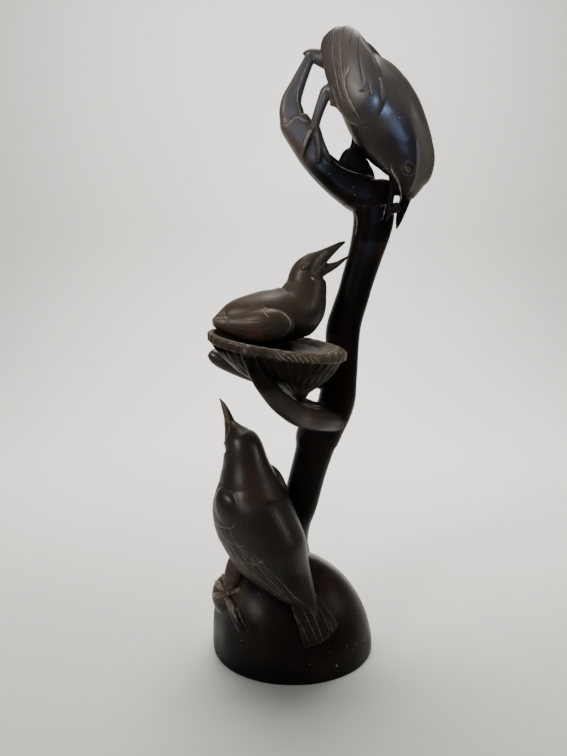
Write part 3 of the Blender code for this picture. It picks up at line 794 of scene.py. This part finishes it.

# Browner wood, and one painted highlight: centre, radius, share
STAINS_AND_PAINTED_HIGHLIGHT = [
    ((-24, -50, 40), 20, 0.9),
    ((48, -30, 52), 24, 0.55),
    ((-62, -26, 284), 13, 0.9),
    ((46, -34, 488), 14, 0.7),
    ((72, -20, 488), 16, 0.7),
    ((-34, -34, 152), 14, 0.45),
    ((0, -2, 440), 20, 0.8),
    # Painted highlight on the top of the arm beside the trunk
    ((24, -32, 220), 20, 0.6),
]


def distance_to_path(places, path):
    """Distance of each place from the path, above nought to its left, and the share of its length there."""
    starts, spans = path[:-1], np.diff(path, axis=0)
    lengths = np.linalg.norm(spans, axis=1)
    offsets = places[:, None] - starts
    share = np.clip((offsets * spans).sum(2) / lengths**2, 0, 1)
    gaps = np.linalg.norm(offsets - share[..., None] * spans, axis=2)
    nearest = gaps.argmin(1)
    rows = np.arange(len(places))
    offset, span = offsets[rows, nearest], spans[nearest]
    side = np.where(span[:, 0] * offset[:, 1] > span[:, 1] * offset[:, 0], 1, -1)
    along = np.concatenate([[0], np.cumsum(lengths)])[nearest] + share[rows, nearest] * lengths[nearest]
    return side * gaps[rows, nearest], along / lengths.sum()


def ramp(low, high, values):
    """0 at low and 1 at high, smooth between them."""
    share = np.clip((values - low) / (high - low), 0, 1)
    return share * share * (3 - 2 * share)


def nest_drop(points):
    """Height above the tilted plane of the nest's rim."""
    place = points - NEST_CENTRE
    return place[:, 2] - NEST_TILT_RIGHT * place[:, 0] - NEST_TILT_BACK * place[:, 1]


def ripple(points, length, seed):
    """Slow random swell between -1 and 1, with hills about length apart."""
    random = np.random.default_rng(seed)
    total = np.zeros(len(points))
    for _ in range(7):
        wave = random.normal(size=3)
        wave *= 2 * math.pi / (length * np.linalg.norm(wave))
        total += np.sin(points @ wave + random.uniform(0, 2 * math.pi))
    return total / 4


class Relief:
    """What the knife does at a set of points.

    height is along the normal. nearest is the distance from the nearest cut, line the same in line
    widths, and pale how pale that cut is, or below nought how dark its painted shade is. phase passes a
    whole number at each straw stroke, and straw is how strong the strokes are.
    """

    def __init__(self, points, normals):
        self.points = points
        self.normals = normals
        count = len(points)
        self.height, self.pale, self.phase, self.straw = np.zeros((4, count))
        self.line, self.nearest = np.full((2, count), FAR)

    def sides(self, bird, reach):
        """The bird's flat view of the points, and for each side of it the points that face that way."""
        local = bird.local(self.points)
        facing = self.normals @ bird.left
        chosen = []
        for side in (1, -1):
            outward = (side * local[:, 1] > -2) & (side * local[:, 1] < reach)
            chosen.append(outward & (side * facing > 0.12))
        return local[:, [0, 2]], chosen

    def close_to(self, flat, chosen, path, margin):
        inside = np.all((flat > path.min(0) - margin) & (flat < path.max(0) + margin), axis=1)
        return np.flatnonzero(chosen & inside)

    def cut(self, flat, chosen, line):
        width, depth, pale, path = line
        path = smooth_rows(path, PATH_SPANS)
        near = self.close_to(flat, chosen, path, CUT_MARGIN)
        if not len(near):
            return
        gap, along = distance_to_path(flat[near], path)
        ends = 0.3 + 0.7 * ramp(0, 0.12, np.minimum(along, 1 - along))
        groove = -depth * ends * np.exp(-((gap / max(width, 0.6)) ** 2))
        self.height[near] = np.minimum(self.height[near], groove)
        closer = np.abs(gap) < self.nearest[near]
        near, gap, ends = near[closer], gap[closer], ends[closer]
        self.nearest[near] = np.abs(gap)
        self.line[near] = gap / width
        self.pale[near] = pale * ends * ramp(2.4, 1.4, np.abs(gap))

    def step(self, flat, chosen, line):
        """A drop to the right of the path that fades out over its reach."""
        depth, reach, pale, path = line
        path = smooth_rows(path, PATH_SPANS)
        near = self.close_to(flat, chosen, path, 2.5 * reach)
        if not len(near):
            return
        gap, along = distance_to_path(flat[near], path)
        ends = ramp(0, 0.15, np.minimum(along, 1 - along))
        drop = ramp(0.5, -0.5, gap) * np.exp(-((np.minimum(gap, 0) / reach) ** 2))
        self.height[near] -= depth * ends * drop
        self.cut(flat, chosen, (0.6, 0.5, pale, line[3]))

    def eye(self, flat, chosen, centre, radius, force):
        gap = np.linalg.norm(flat - centre, axis=1) / radius
        near = chosen & (gap < 1.8)
        gap = gap[near]
        ring, valley = (
            rise * np.exp(-(((gap - middle) / width) ** 2)) for rise, middle, width in (EYE_RING, EYE_VALLEY)
        )
        rise, reach = EYE_BEAD
        bead = rise * np.sqrt(np.clip(1 - (gap / reach) ** 2, 0, 1))
        self.height[near] += force * radius * (ring - valley + bead)

    def eye_gloss(self):
        """1 on the beads of the eyes and 0 elsewhere."""
        gloss = np.zeros(len(self.points))
        for bird, centre, radius, _ in EYES:
            flat, sides = self.sides(bird, HEAD_REACH)
            gap = np.linalg.norm(flat - np.array(centre), axis=1)
            for chosen in sides:
                gloss[chosen & (gap < 0.8 * radius)] = 1
        return gloss

    def birds(self):
        sheets = ((LOWER_FRAME, LOWER_LINES), (MIDDLE_FRAME, MIDDLE_LINES), (TOP_FRAME, TOP_LINES))
        for bird, lines in sheets:
            flat, sides = self.sides(bird, BODY_REACH)
            for chosen in sides:
                for line in lines:
                    self.cut(flat, chosen, line)
        for chosen in sides:
            self.step(flat, chosen, CROWN_STEP)
        for line in TOP_CRACKS:
            self.cut(flat, sides[1], line)
        for bird, centre, radius, force in EYES:
            flat, sides = self.sides(bird, HEAD_REACH)
            for chosen in sides:
                self.eye(flat, chosen, np.array(centre), radius, force)

    def tail_and_branch(self):
        x, y, _ = self.points.T
        flat = self.points[:, [0, 2]]
        front = self.normals[:, 1] < -0.1
        for line in TAIL_LINES:
            self.cut(flat, front & (y < -36), line)
        for line in MOUND_LINES:
            self.cut(flat, front & (y < -30), line)
        branch = front & (y < 16) & (y > -24)
        for line in BRANCH_LINES:
            self.cut(flat, branch, line)
        self.step(flat, branch & (x < 84), BRANCH_CREASE)

    def nest_straw(self):
        """Diagonal strokes on the front of the rim, strands over its top and hatching at the cup's right."""
        place = self.points - NEST_CENTRE
        drop = nest_drop(self.points)
        share = np.hypot(place[:, 0] / NEST_HALF_WIDTH, place[:, 1] / NEST_HALF_DEPTH)
        angle = np.arctan2(place[:, 1] / NEST_HALF_DEPTH, place[:, 0] / NEST_HALF_WIDTH)
        turn = angle / math.tau
        outward = self.normals[:, 0] * np.cos(angle) + self.normals[:, 1] * np.sin(angle)
        wander = 0.25 * ripple(self.points, 12, 5)

        def band(low, high, values, soft):
            return ramp(low - soft, low + soft, values) * ramp(high + soft, high - soft, values)

        rim = (outward > 0.25) * band(-7.5, 0.5, drop, 1.2) * (share > 0.85)
        ahead = np.degrees(angle)
        self.strokes(rim * band(-94, -56, ahead, 4), 72 * turn + 0.22 * drop + wander, 0.5, 0.5)
        top = (self.normals[:, 2] > 0.3) * band(0.6, 0.97, share, 0.05) * band(-4, 4, drop, 1)
        strands = 0.1 + 0.9 * ramp(-12, 16, place[:, 0])
        self.strokes(top * strands, 30 * turn + 9 * share + wander, 0.45, 1.0)
        wall = np.interp(drop, [-42, -33.5, -27, -18, -10.5, -7], [0.3, 0.5, 0.67, 0.82, 0.91, 0.95])
        shift = np.interp(drop, [-42, -33.5, -27, -18, -10.5], [13, 8, 3.7, 1.3, 0])
        right, behind = place[:, 0] - shift, place[:, 1] - 0.7 * shift
        moved = np.hypot(right / NEST_HALF_WIDTH, behind / NEST_HALF_DEPTH)
        bowl = (outward > 0) * (drop < -8) * (drop > -44) * ramp(0.1, 0.05, np.abs(moved - wall))
        edge = ramp(22, 50, place[:, 0])
        self.strokes(bowl * edge, 80 * turn - 0.1 * drop + wander, 0.3, 0.2)

    def strokes(self, strength, phase, depth, pale):
        """Narrow cuts wherever the phase passes a whole number."""
        chosen = strength > 0.02
        narrow = np.exp(-(((phase - np.round(phase)) / 0.2) ** 2))
        self.height[chosen] -= (depth * strength * narrow)[chosen]
        self.phase[chosen] = phase[chosen]
        self.straw[chosen] = (pale * strength)[chosen]

    def all(self):
        self.birds()
        self.tail_and_branch()
        self.nest_straw()
        return self


def bent_branch(points):
    """Share of the branch past its bend, beside the top bird."""
    return ramp(404, 430, points[:, 2]) * ramp(36, 22, points[:, 0])


def dust_and_painted_sheen(points, normals):
    """How dry and grey the wood is: middle bird, nest, foot, bent branch and most of the top bird; on the
    top bird's wing it is also painted sheen.
    """
    x, y, z = points.T
    up = 0.5 + 0.5 * normals[:, 2]
    bowl = ramp(-4, -8, nest_drop(points))
    level = ramp(240, 256, z) * ramp(362, 352, z)
    before_trunk = ramp(46, 34, x)
    nested = level * before_trunk * ramp(22, 12, y) * (0.12 + 0.3 * up)
    nested *= 1 - bowl * (1 - 0.25 * ramp(-20, -44, x))
    straw = level * ramp(282, 276, z) * ramp(0, 20, x) * before_trunk * (1 - bowl)
    ahead, side, back = TOP_FRAME.local(points).T
    # On the top bird's wing the dust is also painted sheen, paler towards the tip
    wing = ramp(2, -14, ahead) * ramp(-4, -12, side) * ramp(26, 16, back)
    wing *= 0.7 + 0.3 * ramp(-30, -60, ahead)
    crown = ramp(20, 38, ahead) * ramp(-1, 1.5, back - np.interp(ahead, *CROWN_EDGE))
    rump = ramp(4, 16, back) * ramp(430, 450, z) * ramp(44, 56, x)
    foot = ramp(100, 84, z) * ramp(48, 58, z) * ramp(-34, -44, x)
    ahead, side, _ = LOWER_FRAME.local(points).T
    cloak = ramp(-50, -10, ahead) * ramp(38, 34, np.abs(side)) * (z > 60)
    parts = (
        0.66 * nested,
        0.4 * straw,
        0.4 * wing,
        0.5 * crown,
        0.25 * rump,
        0.22 * bent_branch(points),
        0.5 * foot,
        0.1 * cloak,
    )
    return np.maximum.reduce(parts)


def sheen_and_painted_shade(points):
    """How much the polish shines, and painted shade where it is low: more at the top, less in shelter, on
    the trunk and low on the mound.
    """
    x, y, z = points.T
    cup = ramp(-3, -9, nest_drop(points)) * ramp(232, 242, z) * ramp(292, 286, z)
    cup *= ramp(60, 50, x) * ramp(16, 10, y)
    forehead = np.exp(-((np.linalg.norm(points - LOWER_FRAME.at(86, 4, 24), axis=1) / 9) ** 2))
    inside_bend = ramp(-22, -28, TOP_FRAME.local(points)[:, 2]) * ramp(350, 356, z)
    inside_bend *= 1 - bent_branch(points)
    stem = ramp(21, 18, np.abs(x - np.interp(z, *TRUNK_MIDDLE))) * ramp(-4, 6, y)
    stem *= ramp(86, 120, z) * ramp(400, 380, z)
    low_mound = ramp(60, 30, z)
    # Dull polish and painted shade: in the nest's cup, on the lower bird's forehead, the trunk and the low
    # mound
    dull_and_painted_shade = np.maximum.reduce([cup, forehead, inside_bend, 0.9 * stem, 0.7 * low_mound])
    top = ramp(425, 445, z) * (1 - inside_bend)
    nested = ramp(264, 272, z) * ramp(362, 352, z)
    nested *= ramp(4, 0, y) * ramp(46, 40, x)
    return 1 - 0.85 * dull_and_painted_shade + 0.7 * top - 0.35 * nested


def stain_and_painted_highlight(points):
    """How much browner the wood is, from stains and one painted highlight."""
    total = np.zeros(len(points))
    for centre, radius, share in STAINS_AND_PAINTED_HIGHLIGHT:
        gap = np.linalg.norm(points - centre, axis=1)
        total = np.maximum(total, share * np.exp(-((gap / radius) ** 2)))
    return total


def evaluated(data, *modifiers):
    """The mesh that the modifiers make of data."""
    carrier = bpy.data.objects.new("carrier", data)
    bpy.context.scene.collection.objects.link(carrier)
    for kind, settings in modifiers:
        modifier = carrier.modifiers.new(kind, kind)
        for name, value in settings.items():
            setattr(modifier, name, value)
    graph = bpy.context.evaluated_depsgraph_get()
    made = bpy.data.meshes.new_from_object(carrier.evaluated_get(graph))
    bpy.data.objects.remove(carrier)
    bpy.data.meshes.remove(data)
    return made


def points_and_normals(data):
    points = np.empty(3 * len(data.vertices))
    data.vertices.foreach_get("co", points)
    normals = np.empty(3 * len(data.vertices), np.float32)
    data.vertex_normals.foreach_get("vector", normals)
    return points.reshape(-1, 3) / MM, normals.reshape(-1, 3).astype(float)


def carve():
    """The forms as one dense skin, with the knife's lines pushed in and slow swells of handwork."""
    forms = bmesh.new()
    for form in (mound, trunk, top_loop, arms, nest, lower_bird, middle_bird, top_bird):
        form(forms)
    bmesh.ops.recalc_face_normals(forms, faces=forms.faces)
    data = bpy.data.meshes.new("forms")
    forms.to_mesh(data)
    forms.free()
    data = evaluated(
        data,
        ("REMESH", {"mode": "VOXEL", "voxel_size": VOXEL * MM}),
        ("SMOOTH", {"factor": 0.5, "iterations": SMOOTH_ROUNDS}),
    )
    points, normals = points_and_normals(data)
    height = Relief(points, normals).all().height + SWELL * ripple(points, SWELL_LENGTH, 1)
    points = points + normals * height[:, None]
    data.vertices.foreach_set("co", (points * MM).ravel())
    return data


def flat_underside(data):
    """Cut at z = 0 and closed with one face."""
    mesh = bmesh.new()
    mesh.from_mesh(data)
    everything = [*mesh.verts, *mesh.edges, *mesh.faces]
    plane = {"plane_co": (0, 0, 0), "plane_no": (0, 0, -1)}
    cut = bmesh.ops.bisect_plane(mesh, geom=everything, clear_outer=True, **plane)
    rim = [item for item in cut["geom_cut"] if isinstance(item, bmesh.types.BMEdge)]
    for face in mesh.faces:
        face.smooth = True
    for face in bmesh.ops.contextual_create(mesh, geom=rim)["faces"]:
        face.smooth = False
    for edge in rim:
        edge.smooth = False
    bmesh.ops.recalc_face_normals(mesh, faces=mesh.faces)
    mesh.to_mesh(data)
    mesh.free()


def bulge(data, points, normals):
    """How far each vertex stands out from its neighbours, in 1/mm."""
    edges = np.empty(2 * len(data.edges), np.int32)
    data.edges.foreach_get("vertices", edges)
    first, second = edges.reshape(-1, 2).T
    step = points[second] - points[first]
    square = np.maximum((step**2).sum(1), 1e-4)
    total = np.zeros(len(points))
    count = np.zeros(len(points))
    for here, way in ((first, 1), (second, -1)):
        np.add.at(total, here, -2 * way * (normals[here] * step).sum(1) / square)
        np.add.at(count, here, 1)
    return total / np.maximum(count, 1)


def wear(data, points, normals, dust_and_sheen):
    """How worn the outstanding edges are: most on the toes, then on the nest's rim."""
    x, _, z = points.T
    toes = ramp(82, 76, z) * ramp(-34, -42, x) * ramp(46, 54, z)
    rim = dust_and_sheen * ramp(258, 266, z) * ramp(284, 279, z) * ramp(-20, 10, x)
    return ramp(0.04, 0.3, bulge(data, points, normals)) * (0.12 + 1.7 * toes + 0.4 * rim)


def finish_skin(data):
    """Store at each vertex what the wood reads: cuts and their painted shade, straw, wear, dust and painted
    sheen, stain and a painted highlight, polished eyes, sheen and painted shade.
    """
    points, normals = points_and_normals(data)
    relief = Relief(points, normals).all()
    dust_and_sheen = dust_and_painted_sheen(points, normals)
    readings = {
        "line": np.clip(relief.line, -FAR, FAR),
        "pale": relief.pale,
        "phase": relief.phase,
        "straw": relief.straw,
        "wear": np.clip(wear(data, points, normals, dust_and_sheen), 0, 1),
        "dust_and_painted_sheen": dust_and_sheen,
        "stain_and_painted_highlight": stain_and_painted_highlight(points),
        "gloss": relief.eye_gloss(),
        "sheen_and_painted_shade": sheen_and_painted_shade(points),
    }
    for name, values in readings.items():
        reading = data.attributes.new(name, "FLOAT", "POINT")
        reading.data.foreach_set("value", values.astype(np.float32))


def wood():
    """Polished, nearly black wood with upright grain, brown streaks and stains with a painted highlight,
    pale cuts, painted shade in dark cuts and dull places, wear, and dust with painted sheen.
    """
    material = bpy.data.materials.new("dark_hardwood")
    material.use_nodes = True
    tree = material.node_tree
    nodes, links = tree.nodes, tree.links
    shader = nodes["Principled BSDF"]

    def node(kind, **settings):
        made = nodes.new(kind)
        for name, value in settings.items():
            setattr(made, name, value)
        return made

    def put(socket, value):
        if isinstance(value, bpy.types.NodeSocket):
            links.new(value, socket)
        else:
            socket.default_value = value

    def maths(operation, *values):
        made = node("ShaderNodeMath", operation=operation)
        for socket, value in zip(made.inputs, values):
            put(socket, value)
        return made.outputs[0]

    def times(first, second):
        return maths("MULTIPLY", first, second)

    def plus(first, second):
        return maths("ADD", first, second)

    def spread(value, low, high, start=0.0, end=1.0):
        made = node("ShaderNodeMapRange", interpolation_type="SMOOTHSTEP")
        for socket, setting in zip(made.inputs, (value, low, high, start, end)):
            put(socket, setting)
        return made.outputs["Result"]

    def mix(factor, first, second):
        made = node("ShaderNodeMix", data_type="RGBA")
        put(made.inputs["Factor"], factor)
        put(made.inputs["A"], first)
        put(made.inputs["B"], second)
        return made.outputs["Result"]

    def share(name):
        return node("ShaderNodeAttribute", attribute_name=name).outputs["Fac"]

    place = node("ShaderNodeTexCoord").outputs["Object"]

    def noise(scale, stretch=(1, 1, 1), detail=4.0, rough=0.55):
        mapping = node("ShaderNodeMapping")
        put(mapping.inputs["Vector"], place)
        put(mapping.inputs["Scale"], stretch)
        made = node("ShaderNodeTexNoise")
        put(made.inputs["Vector"], mapping.outputs[0])
        put(made.inputs["Scale"], scale)
        put(made.inputs["Detail"], detail)
        put(made.inputs["Roughness"], rough)
        return made.outputs["Fac"]

    def specks(scale, size, where):
        made = node("ShaderNodeTexVoronoi")
        put(made.inputs["Vector"], place)
        put(made.inputs["Scale"], scale)
        return times(spread(made.outputs["Distance"], 0.6 * size, size, 1.0, 0.0), where)

    grain = noise(110, (1, 1, 0.05), 5, 0.6)
    patches = noise(13, (1, 1, 0.4), 2)
    streaks = noise(46, (1, 1, 0.09), 3)
    fine = noise(420, (1, 1, 0.3), 3)
    broken = spread(noise(260, (1, 1, 1), 2), 0.36, 0.56, 0.35, 1.0)

    cut = spread(maths("ABSOLUTE", share("line")), 0.45, 1.15, 1.0, 0.0)
    pale = share("pale")
    pale_cut = times(times(cut, maths("MAXIMUM", pale, 0.0)), broken)
    # Painted shade in the dark cuts and cracks
    painted_cut_shade = times(cut, maths("MAXIMUM", times(pale, -1.0), 0.0))
    stroke = spread(maths("ABSOLUTE", plus(maths("FRACT", share("phase")), -0.5)), 0.28, 0.46)
    stroke = times(times(stroke, share("straw")), broken)

    colour = mix(spread(patches, 0.42, 0.64), DARK_WOOD, BROWN_WOOD)
    colour = mix(times(spread(streaks, 0.54, 0.7), 0.55), colour, STREAK)
    # Stains, and one painted highlight on the arm beside the trunk
    colour = mix(times(share("stain_and_painted_highlight"), spread(streaks, 0.3, 0.66, 0.3, 1.0)), colour, STAIN_AND_PAINTED_HIGHLIGHT)
    colour = mix(times(spread(grain, 0.5, 0.72), 0.4), colour, GRAIN)
    # Dust, and on the top bird's wing painted sheen
    colour = mix(times(share("dust_and_painted_sheen"), spread(fine, 0.25, 0.75, 0.84, 1.0)), colour, DRY_WOOD_AND_PAINTED_SHEEN)
    colour = mix(times(share("wear"), spread(fine, 0.35, 0.6, 0.25, 1.0)), colour, WORN_WOOD)
    # Painted shade where the sheen is low
    dull_and_painted_shade = maths("MAXIMUM", times(maths("SUBTRACT", 0.65, share("sheen_and_painted_shade")), 1.1), 0.0)
    colour = mix(maths("MAXIMUM", dull_and_painted_shade, painted_cut_shade), colour, PAINTED_SHADE)
    colour = mix(maths("MAXIMUM", pale_cut, stroke), colour, CUT_WOOD)
    dots = specks(150, 0.075, spread(noise(30), 0.5, 0.64, 0.0, 0.8))
    chips = specks(46, 0.045, spread(noise(9), 0.5, 0.6, 0.0, 0.9))
    colour = mix(maths("MAXIMUM", dots, chips), colour, CHIP)
    put(shader.inputs["Base Color"], colour)

    rough = plus(spread(noise(60), 0.3, 0.7, 0.27, 0.4), times(share("dust_and_painted_sheen"), 0.3))
    rough = plus(rough, times(maths("MAXIMUM", pale_cut, stroke), 0.3))
    rough = plus(rough, times(share("gloss"), -0.14))
    put(shader.inputs["Roughness"], plus(rough, times(grain, 0.06)))
    put(shader.inputs["Metallic"], 0.0)
    put(shader.inputs["IOR"], 1.45)
    put(shader.inputs["Specular IOR Level"], times(share("sheen_and_painted_shade"), 0.3))

    depth = times(cut, maths("ABSOLUTE", pale))
    bump = node("ShaderNodeBump")
    put(bump.inputs["Strength"], 0.3)
    put(bump.inputs["Distance"], 0.0003)
    surface = plus(times(grain, 0.7), times(fine, 0.25))
    put(bump.inputs["Height"], plus(surface, times(maths("MAXIMUM", depth, stroke), -1.2)))
    put(shader.inputs["Normal"], bump.outputs["Normal"])
    return material


def backdrop():
    """Pale floor that curves up into a pale wall."""
    across, depth, rise, radius = 3.0, 1.2, 2.2, 0.5
    profile = [(-2.5, 0.0), (depth - radius, 0.0)]
    for step in range(1, 13):
        turn = math.pi / 2 * step / 12
        profile.append((depth - radius + radius * math.sin(turn), radius - radius * math.cos(turn)))
    profile.append((depth, rise))
    mesh = bmesh.new()
    rows = [[mesh.verts.new((side * across, y, z)) for side in (-1, 1)] for y, z in profile]
    for (a, b), (d, c) in zip(rows, rows[1:]):
        mesh.faces.new((a, b, c, d)).smooth = True
    data = bpy.data.meshes.new("floor")
    mesh.to_mesh(data)
    mesh.free()
    paint = bpy.data.materials.new("pale_floor")
    paint.use_nodes = True
    shader = paint.node_tree.nodes["Principled BSDF"]
    shader.inputs["Base Color"].default_value = FLOOR_COLOUR
    shader.inputs["Roughness"].default_value = 0.85
    data.materials.append(paint)
    floor = bpy.data.objects.new("floor", data)
    bpy.context.scene.collection.objects.link(floor)


def lamp(name, place, target, size, power, colour, spread):
    light = bpy.data.lights.new(name, "AREA")
    light.shape = "RECTANGLE"
    light.spread = math.radians(spread)
    light.size, light.size_y = size
    light.energy = power
    light.color = colour
    holder = bpy.data.objects.new(name, light)
    holder.location = place
    holder.rotation_euler = (Vector(target) - Vector(place)).to_track_quat("-Z", "Y").to_euler()
    bpy.context.scene.collection.objects.link(holder)


def studio():
    backdrop()
    for name, settings in LAMPS.items():
        lamp(name, *settings)
    world = bpy.data.worlds.new("studio")
    world.use_nodes = True
    background = world.node_tree.nodes["Background"]
    background.inputs["Color"].default_value = WORLD_COLOUR
    background.inputs["Strength"].default_value = WORLD_STRENGTH
    bpy.context.scene.world = world


def camera():
    """The photograph's view: level with the middle bird, and tipped down."""
    lens = bpy.data.cameras.new("camera")
    lens.sensor_fit = "VERTICAL"
    lens.sensor_height = SENSOR
    lens.lens = SENSOR * FOCAL_PIXELS / PICTURE_PIXELS
    lens.clip_start = 0.01
    holder = bpy.data.objects.new("camera", lens)
    holder.location = CAMERA_PLACE
    holder.rotation_euler = (math.radians(90 - CAMERA_TIP), 0, 0)
    bpy.context.scene.collection.objects.link(holder)
    bpy.context.scene.camera = holder


def main():
    camera()
    data = carve()
    ratio = TRIANGLES / (2 * len(data.polygons))
    data = evaluated(data, ("DECIMATE", {"ratio": ratio, "use_collapse_triangulate": True}))
    flat_underside(data)
    finish_skin(data)
    data.name = "carving"
    data.materials.clear()
    data.materials.append(wood())
    carving = bpy.data.objects.new("carving", data)
    bpy.context.scene.collection.objects.link(carving)
    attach(carving, "root")
    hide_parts("bird_tree_carving")
    studio()


main()
